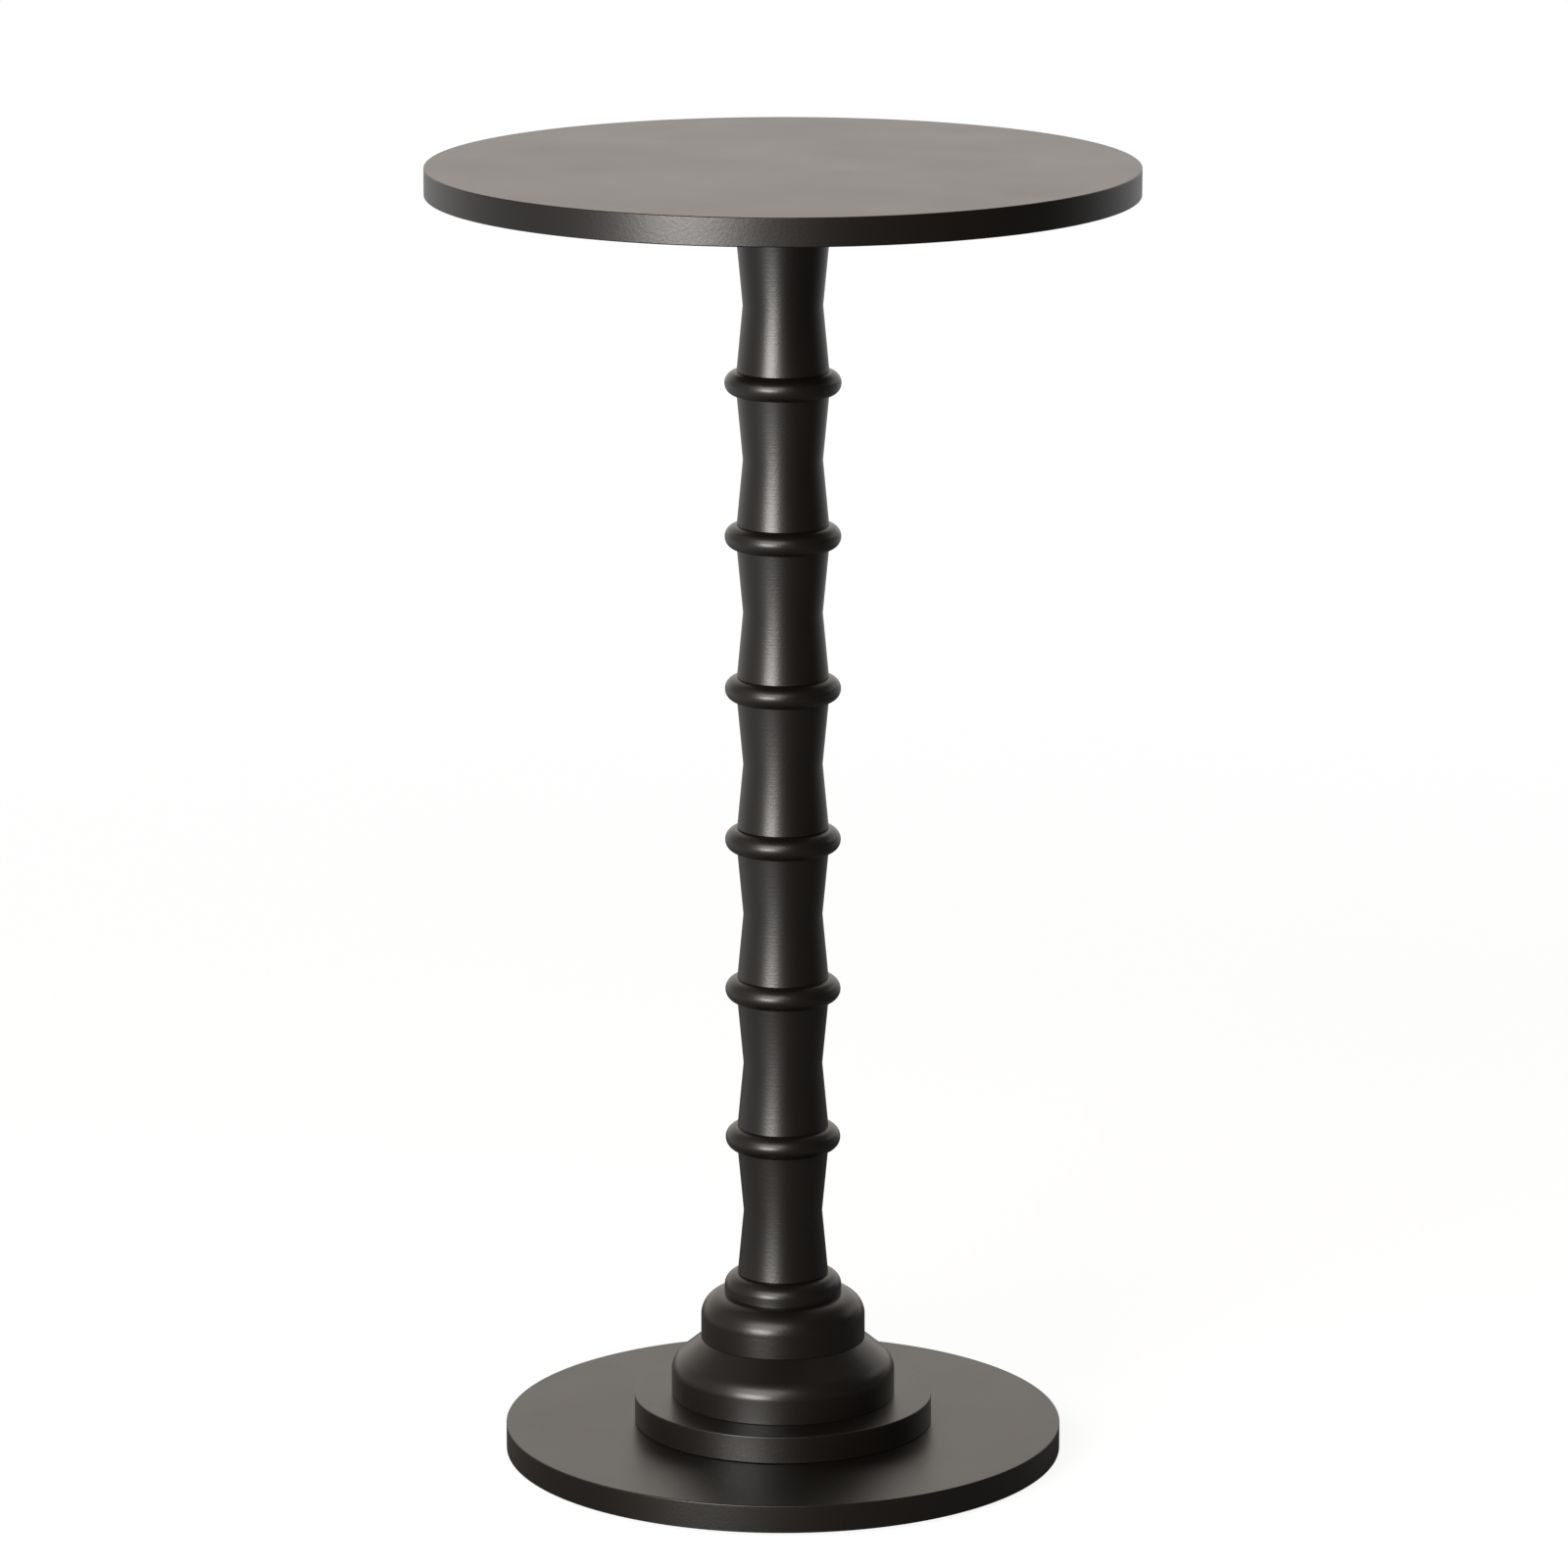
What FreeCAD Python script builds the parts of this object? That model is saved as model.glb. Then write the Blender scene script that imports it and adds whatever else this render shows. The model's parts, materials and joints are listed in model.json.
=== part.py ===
import FreeCAD, Part
import Sketcher
import os

# A round pedestal table: painted boards, a turned column in two lengths, a two-tier collar,
# and the plate, studs, inserts, bolt and screws that hold them together.
# Lengths are in millimetres. Z is up and zero is the floor under the felt pads.
dimensions = {
    # round painted boards
    "top_diameter": 350,
    "top_thickness": 14,
    "base_diameter": 280,
    "base_thickness": 14,
    "plinth_diameter": 150,
    "plinth_thickness": 14,
    "board_edge_radius": 0.6,
    # turned column: half-round beads between waisted lengths
    "bead_pitch": 76.65,
    "bead_radius": 6,
    "neck_diameter": 45.6,
    "waist_diameter": 39.7,
    "waist_curve_radius": 45,
    "upper_bead_count": 4,
    "lower_bead_count": 3,
    "head_length": 7.75,
    # collar: a flared lower tier under a round-shouldered band with an upright bead
    "flare_diameter": 112.6,
    "flare_height": 29.5,
    "flare_side_height": 17.1,
    "flare_shoulder_radius": 11,
    "band_diameter": 82.6,
    "band_height": 23.4,
    "band_shoulder_radius": 11.7,
    "foot_bead_radius": 6.6,
    "foot_bead_side_height": 3.9,
    # steel plate under the top, with its nut and screws
    "plate_diameter": 110,
    "plate_thickness": 3,
    "nut_across_flats": 13,
    "nut_height": 6.5,
    "nut_recess_diameter": 25,
    "plate_screw_circle": 84,
    "plate_screw_count": 6,
    "plate_screw_diameter": 4,
    "plate_screw_head_diameter": 7.6,
    "plate_screw_bite": 9,
    "plate_screw_point": 3,
    # studs and threaded inserts that join the lengths of the column
    "thread_diameter": 8,
    "thread_chamfer": 1,
    "stud_screw_diameter": 7.4,
    "stud_screw_length": 36,
    "stud_screw_point": 6,
    "stud_projection": 1,
    "insert_diameter": 13,
    "insert_length": 20,
    "insert_flange_diameter": 18,
    "insert_flange_thickness": 1.6,
    # long bolt from below, its washers, and the screws of the base
    "bolt_engagement": 13.6,
    "bolt_head_diameter": 14,
    "bolt_head_height": 4.4,
    "bolt_head_crown_radius": 1.6,
    "bolt_socket_across_flats": 5,
    "bolt_socket_depth": 2.6,
    "washer_diameter": 28,
    "washer_thickness": 2,
    "lock_washer_diameter": 14.8,
    "lock_washer_thickness": 2,
    "lock_washer_turn_degrees": 348,
    "base_screw_circle": 76,
    "base_screw_count": 4,
    "base_screw_diameter": 4.5,
    "base_screw_head_diameter": 9,
    "base_screw_bite": 20,
    "base_screw_point": 5,
    # felt pads
    "pad_diameter": 22,
    "pad_thickness": 2,
    "pad_circle": 236,
    "pad_count": 6,
    # room between pieces
    "fit_clearance": 0.1,
    "bolt_clearance": 0.5,
    "end_clearance": 0.6,
}

doc = FreeCAD.newDocument("wine_table")
sizes = doc.addObject("Spreadsheet::Sheet", "sizes")
for row, (alias, number) in enumerate(dimensions.items(), start=1):
    sizes.set(f"A{row}", alias)
    sizes.set(f"B{row}", str(number))
    sizes.setAlias(f"B{row}", alias)
doc.recompute()

full_turn_degrees = 360
hexagon_sides = 6
same_place = 1e-6

# how a sketch numbers its own axes and origin, and the points of an edge
level_axis, upright_axis = -1, -2
edge_points = ("whole edge", "start", "end", "centre")
start_point = edge_points.index("start")
end_point = edge_points.index("end")
centre_point = edge_points.index("centre")
sketch_origin = (level_axis, start_point)

# sizes that several pieces share, as expressions on the sheet
neck_radius = "sizes.neck_diameter / 2"
band_radius = "sizes.band_diameter / 2"
thread_radius = "sizes.thread_diameter / 2"
bolt_hole_radius = f"{thread_radius} + sizes.bolt_clearance"
threaded_bore_radius = f"{thread_radius} + sizes.fit_clearance"
bead_collar_height = "sizes.band_height + sizes.foot_bead_side_height + sizes.foot_bead_radius"
bolt_stack_height = "sizes.bolt_head_height + sizes.lock_washer_thickness + sizes.washer_thickness"
counterbore_depth = f"{bolt_stack_height} + sizes.end_clearance"
insert_bore_depth = "sizes.insert_length + sizes.stud_projection + sizes.end_clearance"
upper_column_length = "sizes.upper_bead_count * sizes.bead_pitch + sizes.head_length"
lower_column_length = "sizes.lower_bead_count * sizes.bead_pitch"
# the waist's curve leaves a straight flank beside each bead
half_shaft = "sizes.bead_pitch / 2 - sizes.bead_radius"
widest_curve = f"pow({half_shaft}; 2) / abs(sizes.neck_diameter - sizes.waist_diameter)"
waist_curve = f"min(sizes.waist_curve_radius; {widest_curve})"

pieces = []
levels = {}


def number_of(expression):
    return float(sizes.evalExpression(expression))


def point(x, y):
    return FreeCAD.Vector(x, y, 0)


def new_piece(label, seat=None, rise="0"):
    """A named piece whose own zero level is its underside, set on the seat piece's zero plus a rise."""
    body = doc.addObject("PartDesign::Body", label)
    body.Label = label
    levels[label] = f"{levels[seat.Label]} + {rise}" if seat else rise
    body.setExpression("Placement.Base.z", levels[label])
    pieces.append(body)
    return body


def origin_feature(body, role):
    return next(feature for feature in body.Origin.OriginFeatures if feature.Role == role)


def new_sketch(body, name, plane):
    sketch = body.newObject("Sketcher::SketchObject", name)
    sketch.AttachmentSupport = [(origin_feature(body, plane), "")]
    sketch.MapMode = "FlatFace"
    return sketch


def bind(sketch, kind, *place, expression):
    """A dimension of the sketch that follows an expression on the sheet."""
    index = sketch.addConstraint(Sketcher.Constraint(kind, *place, number_of(expression)))
    sketch.setExpression(f"Constraints[{index}]", expression)


def hold(sketch, kind, *place):
    sketch.addConstraint(Sketcher.Constraint(kind, *place))


def pin_corner(sketch, edge, end, x, y):
    """Hold one end of an edge at a place given as two expressions, either of which may be zero."""
    if x == "0":
        hold(sketch, "PointOnObject", edge, end, upright_axis)
    else:
        bind(sketch, "DistanceX", *sketch_origin, edge, end, expression=x)
    if y == "0":
        hold(sketch, "PointOnObject", edge, end, level_axis)
    else:
        bind(sketch, "DistanceY", *sketch_origin, edge, end, expression=y)


def rounded_edge(start, end, radius):
    """An arc from start to end that swells to the right of its way."""
    chord = end - start
    half = chord.Length / 2
    depth = (radius ** 2 - half ** 2) ** 0.5
    right = FreeCAD.Vector(chord.y, -chord.x, 0).normalize()
    middle = start + chord / 2 + right * (radius - depth)
    return Part.Arc(start, middle, end)


def draw_outline(sketch, corners, axis=None):
    """A closed outline of (radius, level) corners about an upright axis, counter-clockwise.

    A third entry makes the edge that ends at the corner an arc of that radius.
    An axis expression moves the outline, and a construction line marks the axis.
    """
    def across(radius):
        if axis is None:
            return radius
        return axis if radius == "0" else f"{axis} + {radius}"

    places = [point(number_of(across(c[0])), number_of(c[1])) for c in corners]
    count = len(corners)
    for k in range(count):
        target = corners[(k + 1) % count]
        start, end = places[k], places[(k + 1) % count]
        if len(target) == 3:
            sketch.addGeometry(rounded_edge(start, end, number_of(target[2])), False)
        else:
            sketch.addGeometry(Part.LineSegment(start, end), False)
    for k in range(count):
        hold(sketch, "Coincident", k, end_point, (k + 1) % count, start_point)
        pin_corner(sketch, k, start_point, across(corners[k][0]), corners[k][1])
        target = corners[(k + 1) % count]
        if len(target) == 3:
            bind(sketch, "Radius", k, expression=target[2])
    if axis is not None:
        low, high = min(p.y for p in places), max(p.y for p in places)
        along = number_of(axis)
        line = sketch.addGeometry(Part.LineSegment(point(along, low), point(along, high)), True)
        for end, level in ((start_point, low), (end_point, high)):
            corner = next(k for k in range(count) if places[k].y == level)
            bind(sketch, "DistanceX", *sketch_origin, line, end, expression=axis)
            hold(sketch, "Horizontal", line, end, corner, start_point)


def turn(body, kind, name, corners, axis=None, degrees=None):
    """Turn an outline about an upright axis, to add a solid or to cut one away."""
    sketch = new_sketch(body, f"{name}_outline", "XZ_Plane")
    draw_outline(sketch, corners, axis)
    doc.recompute()
    feature = body.newObject(f"PartDesign::{kind}", name)
    feature.Profile = (sketch, [""])
    feature.ReferenceAxis = (sketch, ["V_Axis" if axis is None else "Axis0"])
    if degrees:
        feature.setExpression("Angle", degrees)
    else:
        feature.Angle = full_turn_degrees
    doc.recompute()
    return feature


def repeat_round(body, feature, count):
    """Copies of a feature spaced evenly round the table's axis."""
    ring = body.newObject("PartDesign::PolarPattern", f"{feature.Name}_ring")
    ring.Originals = [feature]
    ring.Axis = (origin_feature(body, "Z_Axis"), [""])
    ring.Angle = full_turn_degrees
    ring.setExpression("Occurrences", count)
    body.Tip = ring
    doc.recompute()


def pad_disc(body, name, diameter, thickness, offset=None):
    """A round slab, centred or standing off the axis."""
    sketch = new_sketch(body, f"{name}_circle", "XY_Plane")
    across = number_of(offset) if offset else 0
    circle = Part.Circle(point(across, 0), FreeCAD.Vector(0, 0, 1), number_of(diameter) / 2)
    edge = sketch.addGeometry(circle, False)
    bind(sketch, "Diameter", edge, expression=diameter)
    if offset:
        pin_corner(sketch, edge, centre_point, offset, "0")
    else:
        hold(sketch, "Coincident", edge, centre_point, *sketch_origin)
    pad = body.newObject("PartDesign::Pad", name)
    pad.Profile = (sketch, [""])
    pad.setExpression("Length", thickness)
    doc.recompute()
    return pad


def round_edges(body, name, feature, radius, rims):
    """Round the circular edges of a feature that lie at the given (radius, level) places."""
    places = [(number_of(rim[0]), number_of(rim[1])) for rim in rims]
    picked = []
    for index, edge in enumerate(feature.Shape.Edges, start=1):
        if not isinstance(edge.Curve, Part.Circle):
            continue
        for wide, high in places:
            level_gap = abs(edge.Curve.Center.z - high)
            if abs(edge.Curve.Radius - wide) < same_place and level_gap < same_place:
                picked.append(f"Edge{index}")
    fillet = body.newObject("PartDesign::Fillet", name)
    fillet.Base = (feature, picked)
    fillet.setExpression("Radius", radius)
    doc.recompute()


def round_board(label, board, seat, rise):
    """A round board with both rims slightly rounded."""
    body = new_piece(label, seat, rise)
    diameter, thickness = f"sizes.{board}_diameter", f"sizes.{board}_thickness"
    slab = pad_disc(body, f"{board}_slab", diameter, thickness)
    edge_radius = f"min(sizes.board_edge_radius; {thickness} / 2 - sizes.fit_clearance)"
    rims = [(f"{diameter} / 2", "0"), (f"{diameter} / 2", thickness)]
    round_edges(body, f"{board}_rims", slab, edge_radius, rims)
    return body


def bolt_hole(body, name, depth):
    turn(body, "Groove", name, [
        ("0", "0"),
        (bolt_hole_radius, "0"),
        (bolt_hole_radius, depth),
        ("0", depth),
    ])


def shank_radius(screw):
    return f"sizes.{screw}_diameter / 2"


def head_radius(screw):
    return f"sizes.{screw}_head_diameter / 2"


def head_depth(screw):
    """Depth of a right-angled countersunk head."""
    return f"{head_radius(screw)} - {shank_radius(screw)}"


def turn_ring(body, kind, name, screw, corners):
    """Turn an outline about one screw's axis and repeat it for the rest of that ring of screws."""
    one = turn(body, kind, name, corners, f"sizes.{screw}_circle / 2")
    repeat_round(body, one, f"sizes.{screw}_count")


def countersunk_holes(body, screw, depth):
    turn_ring(body, "Groove", f"{body.Name}_countersink", screw, [
        ("0", "0"),
        (f"{head_radius(screw)} + sizes.fit_clearance", "0"),
        (f"{shank_radius(screw)} + sizes.fit_clearance", head_depth(screw)),
        (f"{shank_radius(screw)} + sizes.fit_clearance", depth),
        ("0", depth),
    ])


def plain_screw_holes(body, screw, depth):
    turn_ring(body, "Groove", f"{body.Name}_screw_hole", screw, [
        ("0", "0"),
        (f"{shank_radius(screw)} + sizes.fit_clearance", "0"),
        (f"{shank_radius(screw)} + sizes.fit_clearance", depth),
        ("0", depth),
    ])


def pilot_holes(body, screw):
    turn_ring(body, "Groove", f"{body.Name}_pilot", screw, [
        ("0", "0"),
        (f"{shank_radius(screw)} + sizes.fit_clearance", "0"),
        (f"{shank_radius(screw)} + sizes.fit_clearance", f"sizes.{screw}_bite - sizes.{screw}_point"),
        ("0", f"sizes.{screw}_bite + sizes.end_clearance"),
    ])


def screw_group(label, screw, through, seat):
    """Countersunk wood screws, heads flush with the underside of the piece they go through."""
    length = f"{through} + sizes.{screw}_bite"
    body = new_piece(label, seat)
    turn_ring(body, "Revolution", screw, screw, [
        ("0", "0"),
        (head_radius(screw), "0"),
        (shank_radius(screw), head_depth(screw)),
        (shank_radius(screw), f"{length} - sizes.{screw}_point"),
        ("0", length),
    ])


def draw_bead_module(sketch):
    """Half outline of one length of the column: a waisted shaft with a half-round bead on top."""
    neck = number_of(neck_radius)
    waist = number_of("sizes.waist_diameter / 2")
    curve = number_of(waist_curve)
    bead = number_of("sizes.bead_radius")
    pitch = number_of("sizes.bead_pitch")
    shaft = pitch - 2 * bead
    middle = shaft / 2
    # a hollow waist curves round a centre outside its flanks, a full one round a centre inside them
    hollow = waist < neck
    side = 1 if hollow else -1
    curve_axis = f"sizes.waist_diameter / 2 {'+' if hollow else '-'} {waist_curve}"
    toward = point(waist + side * curve, middle) - point(neck, 0)
    across = point(-toward.y, toward.x) * side
    flank = (toward.Length ** 2 - curve ** 2) ** 0.5
    lower_touch = point(neck, 0) + (toward * flank + across * curve) * (flank / toward.Length ** 2)
    upper_touch = point(lower_touch.x, shaft - lower_touch.y)
    curve_ends = (upper_touch, lower_touch) if hollow else (lower_touch, upper_touch)
    upper_end, lower_end = (start_point, end_point) if hollow else (end_point, start_point)

    def line(start, end):
        return sketch.addGeometry(Part.LineSegment(start, end), False)

    foot = line(point(0, 0), point(neck, 0))
    lower_flank = line(point(neck, 0), lower_touch)
    waist_arc = sketch.addGeometry(Part.Arc(curve_ends[0], point(waist, middle), curve_ends[1]), False)
    upper_flank = line(upper_touch, point(neck, shaft))
    bead_arc = sketch.addGeometry(
        Part.Arc(point(neck, shaft), point(neck + bead, shaft + bead), point(neck, pitch)), False)
    crown = line(point(neck, pitch), point(0, pitch))
    axis = line(point(0, pitch), point(0, 0))

    # the outline is closed, square to the axis at both ends and starts at the origin
    hold(sketch, "Coincident", foot, start_point, *sketch_origin)
    hold(sketch, "Coincident", axis, end_point, *sketch_origin)
    hold(sketch, "Coincident", foot, end_point, lower_flank, start_point)
    hold(sketch, "Coincident", upper_flank, end_point, bead_arc, start_point)
    hold(sketch, "Coincident", bead_arc, end_point, crown, start_point)
    hold(sketch, "Coincident", crown, end_point, axis, start_point)
    hold(sketch, "Horizontal", foot)
    hold(sketch, "Horizontal", crown)
    hold(sketch, "Vertical", axis)
    # straight flanks of one length run smoothly into the waist curve
    hold(sketch, "Tangent", lower_flank, end_point, waist_arc, lower_end)
    hold(sketch, "Tangent", upper_flank, start_point, waist_arc, upper_end)
    hold(sketch, "Equal", lower_flank, upper_flank)
    # the bead is a half circle that stands on the neck
    hold(sketch, "Vertical", upper_flank, end_point, bead_arc, centre_point)
    hold(sketch, "Vertical", crown, start_point, bead_arc, centre_point)
    bind(sketch, "DistanceX", foot, start_point, foot, end_point, expression=neck_radius)
    bind(sketch, "DistanceX", *sketch_origin, bead_arc, centre_point, expression=neck_radius)
    bind(sketch, "DistanceY", axis, end_point, axis, start_point, expression="sizes.bead_pitch")
    bind(sketch, "Radius", bead_arc, expression="sizes.bead_radius")
    bind(sketch, "Radius", waist_arc, expression=waist_curve)
    bind(sketch, "DistanceX", *sketch_origin, waist_arc, centre_point, expression=curve_axis)


def column_shaft(label, seat, rise, count):
    """A turned length of column: one module, repeated upwards."""
    body = new_piece(label, seat, rise)
    sketch = new_sketch(body, f"{label}_module_outline", "XZ_Plane")
    draw_bead_module(sketch)
    module = body.newObject("PartDesign::Revolution", f"{label}_module")
    module.Profile = (sketch, [""])
    module.ReferenceAxis = (sketch, ["V_Axis"])
    module.Angle = full_turn_degrees
    doc.recompute()
    shaft = body.newObject("PartDesign::LinearPattern", f"{label}_modules")
    shaft.Originals = [module]
    shaft.Direction = (origin_feature(body, "Z_Axis"), [""])
    shaft.Mode = "Spacing"
    shaft.setExpression("Offset", "sizes.bead_pitch")
    shaft.setExpression("Occurrences", count)
    body.Tip = shaft
    doc.recompute()
    return body


def insert_socket(body, depth):
    """Stepped bore in a column's foot: the insert's flange, its barrel, then room for the thread's end."""
    flange = "sizes.insert_flange_diameter / 2 + sizes.fit_clearance"
    barrel = "sizes.insert_diameter / 2 + sizes.fit_clearance"
    turn(body, "Groove", f"{body.Name}_socket", [
        ("0", "0"),
        (flange, "0"),
        (flange, "sizes.insert_flange_thickness"),
        (barrel, "sizes.insert_flange_thickness"),
        (barrel, "sizes.insert_length"),
        (bolt_hole_radius, "sizes.insert_length"),
        (bolt_hole_radius, depth),
        ("0", depth),
    ])


def stud_bore(body, length):
    """Pointed bore in a column's head for the screw end of a stud."""
    radius = "sizes.stud_screw_diameter / 2 + sizes.fit_clearance"
    floor = f"{length} - sizes.stud_screw_length"
    turn(body, "Groove", f"{body.Name}_stud_bore", [
        ("0", f"{floor} - sizes.end_clearance"),
        (radius, f"{floor} + sizes.stud_screw_point"),
        (radius, length),
        ("0", length),
    ])


def hanger_bolt(label, column, length, threaded):
    """A stud with a pointed wood-screw end in the column's head and a machine thread above it."""
    screw = "sizes.stud_screw_diameter / 2"
    top = f"sizes.stud_screw_length + {threaded}"
    body = new_piece(label, column, f"{length} - sizes.stud_screw_length")
    turn(body, "Revolution", label + "_stud", [
        ("0", "0"),
        (screw, "sizes.stud_screw_point"),
        (screw, "sizes.stud_screw_length"),
        (thread_radius, "sizes.stud_screw_length"),
        (thread_radius, f"{top} - sizes.thread_chamfer"),
        (f"{thread_radius} - sizes.thread_chamfer", top),
        ("0", top),
    ])


def threaded_insert(label, column):
    """A flanged insert, flush with the column's foot."""
    flange = "sizes.insert_flange_diameter / 2"
    barrel = "sizes.insert_diameter / 2"
    body = new_piece(label, column)
    turn(body, "Revolution", label + "_barrel", [
        (threaded_bore_radius, "0"),
        (flange, "0"),
        (flange, "sizes.insert_flange_thickness"),
        (barrel, "sizes.insert_flange_thickness"),
        (barrel, "sizes.insert_length"),
        (threaded_bore_radius, "sizes.insert_length"),
    ])


def flat_ring(body, name, inner, outer, thickness, degrees=None):
    turn(body, "Revolution", name, [
        (inner, "0"),
        (outer, "0"),
        (outer, thickness),
        (inner, thickness),
    ], degrees=degrees)


def add_prism(body, kind, name, across_flats, height):
    """A hexagonal prism on the axis, added or cut away, from the piece's underside up."""
    prism = body.newObject(f"PartDesign::{kind}Prism", name)
    prism.Polygon = hexagon_sides
    prism.setExpression("Circumradius", f"{across_flats} / sqrt(3)")
    prism.setExpression("Height", height)
    doc.recompute()


# felt pads on the floor
floor_pads = new_piece("floor_pads")
felt = pad_disc(floor_pads, "felt", "sizes.pad_diameter", "sizes.pad_thickness", "sizes.pad_circle / 2")
repeat_round(floor_pads, felt, "sizes.pad_count")

# base board, with the counterbore for the bolt's head and washers
base_disc = round_board("base_disc", "base", floor_pads, "sizes.pad_thickness")
counterbore_radius = "sizes.washer_diameter / 2 + sizes.bolt_clearance"
turn(base_disc, "Groove", "base_bore", [
    ("0", "0"),
    (counterbore_radius, "0"),
    (counterbore_radius, counterbore_depth),
    (bolt_hole_radius, counterbore_depth),
    (bolt_hole_radius, "sizes.base_thickness"),
    ("0", "sizes.base_thickness"),
])
countersunk_holes(base_disc, "base_screw", "sizes.base_thickness")

# plinth board
plinth_disc = round_board("plinth_disc", "plinth", base_disc, "sizes.base_thickness")
bolt_hole(plinth_disc, "plinth_bore", "sizes.plinth_thickness")
plain_screw_holes(plinth_disc, "base_screw", "sizes.plinth_thickness")

# lower tier of the collar: an upright side, a rounded shoulder and a straight flare up to the band
flared_collar = new_piece("flared_collar", plinth_disc, "sizes.plinth_thickness")
flare = turn(flared_collar, "Revolution", "flare", [
    ("0", "0"),
    ("sizes.flare_diameter / 2", "0"),
    ("sizes.flare_diameter / 2", "sizes.flare_side_height"),
    (band_radius, "sizes.flare_height"),
    ("0", "sizes.flare_height"),
])
round_edges(flared_collar, "flare_shoulder", flare, "sizes.flare_shoulder_radius",
            [("sizes.flare_diameter / 2", "sizes.flare_side_height")])
bolt_hole(flared_collar, "flare_bore", "sizes.flare_height")
pilot_holes(flared_collar, "base_screw")

# upper tier of the collar: a band with a quarter-round shoulder, and the lowest bead, whose side is upright
bead_collar = new_piece("bead_collar", flared_collar, "sizes.flare_height")
bead_side_radius = f"{neck_radius} + sizes.foot_bead_radius"
band = turn(bead_collar, "Revolution", "band", [
    ("0", "0"),
    (band_radius, "0"),
    (band_radius, "sizes.band_height"),
    (bead_side_radius, "sizes.band_height"),
    (bead_side_radius, "sizes.band_height + sizes.foot_bead_side_height"),
    (neck_radius, bead_collar_height, "sizes.foot_bead_radius"),
    ("0", bead_collar_height),
])
ledge_width = f"{band_radius} - ({bead_side_radius})"
round_edges(bead_collar, "band_shoulder", band,
            f"min(sizes.band_shoulder_radius; {ledge_width} - sizes.fit_clearance)",
            [(band_radius, "sizes.band_height")])
bolt_hole(bead_collar, "band_bore", bead_collar_height)

# lower length of the column
bolt_reach = "max(sizes.insert_length; sizes.bolt_engagement) + sizes.end_clearance"
lower_column = column_shaft("lower_column", bead_collar, bead_collar_height, "sizes.lower_bead_count")
insert_socket(lower_column, bolt_reach)
stud_bore(lower_column, lower_column_length)
threaded_insert("lower_column_insert", lower_column)
hanger_bolt("column_hanger_bolt", lower_column, lower_column_length,
            "sizes.insert_length + sizes.stud_projection")

# upper length of the column, with a plain head under the plate
upper_column = column_shaft("upper_column", lower_column, lower_column_length, "sizes.upper_bead_count")
head_foot = "sizes.upper_bead_count * sizes.bead_pitch"
turn(upper_column, "Revolution", "column_head", [
    ("0", head_foot),
    (neck_radius, head_foot),
    (neck_radius, upper_column_length),
    ("0", upper_column_length),
])
insert_socket(upper_column, insert_bore_depth)
stud_bore(upper_column, upper_column_length)
threaded_insert("upper_column_insert", upper_column)
hanger_bolt("top_hanger_bolt", upper_column, upper_column_length,
            "sizes.plate_thickness + sizes.nut_height + sizes.stud_projection")

# steel plate on the column's head, with its nut on top
top_mounting_plate = new_piece("top_mounting_plate", upper_column, upper_column_length)
flat_ring(top_mounting_plate, "plate", threaded_bore_radius, "sizes.plate_diameter / 2",
          "sizes.plate_thickness")
countersunk_holes(top_mounting_plate, "plate_screw", "sizes.plate_thickness")
top_plate_nut = new_piece("top_plate_nut", top_mounting_plate, "sizes.plate_thickness")
add_prism(top_plate_nut, "Additive", "hexagon", "sizes.nut_across_flats", "sizes.nut_height")
turn(top_plate_nut, "Groove", "nut_bore", [
    ("0", "0"),
    (threaded_bore_radius, "0"),
    (threaded_bore_radius, "sizes.nut_height"),
    ("0", "sizes.nut_height"),
])

# top board, recessed from below for the nut and the end of its stud
table_top = round_board("table_top", "top", top_mounting_plate, "sizes.plate_thickness")
recess_depth = "sizes.nut_height + sizes.stud_projection + sizes.end_clearance"
turn(table_top, "Groove", "nut_recess", [
    ("0", "0"),
    ("sizes.nut_recess_diameter / 2", "0"),
    ("sizes.nut_recess_diameter / 2", recess_depth),
    ("0", recess_depth),
])
pilot_holes(table_top, "plate_screw")
screw_group("top_plate_screws", "plate_screw", "sizes.plate_thickness", top_mounting_plate)
screw_group("base_screws", "base_screw", "sizes.base_thickness + sizes.plinth_thickness", base_disc)

# long bolt from below, through base, plinth and collar into the lower column's insert
bolt_head_radius = "sizes.bolt_head_diameter / 2"
boards_height = "sizes.base_thickness - sizes.end_clearance + sizes.plinth_thickness"
bolt_length = f"{boards_height} + sizes.flare_height + {bead_collar_height} + sizes.bolt_engagement"
base_bolt = new_piece("base_bolt", base_disc, "sizes.end_clearance")
bolt = turn(base_bolt, "Revolution", "bolt", [
    ("0", "0"),
    (bolt_head_radius, "0"),
    (bolt_head_radius, "sizes.bolt_head_height"),
    (thread_radius, "sizes.bolt_head_height"),
    (thread_radius, f"{bolt_length} - sizes.thread_chamfer"),
    (f"{thread_radius} - sizes.thread_chamfer", bolt_length),
    ("0", bolt_length),
])
round_edges(base_bolt, "bolt_crown", bolt, "sizes.bolt_head_crown_radius", [(bolt_head_radius, "0")])
add_prism(base_bolt, "Subtractive", "bolt_socket", "sizes.bolt_socket_across_flats",
          "sizes.bolt_socket_depth")
base_lock_washer = new_piece("base_lock_washer", base_bolt, "sizes.bolt_head_height")
flat_ring(base_lock_washer, "spring_ring", threaded_bore_radius, "sizes.lock_washer_diameter / 2",
          "sizes.lock_washer_thickness", "sizes.lock_washer_turn_degrees")
base_washer = new_piece("base_washer", base_lock_washer, "sizes.lock_washer_thickness")
flat_ring(base_washer, "washer_ring", threaded_bore_radius, "sizes.washer_diameter / 2",
          "sizes.washer_thickness")

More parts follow.
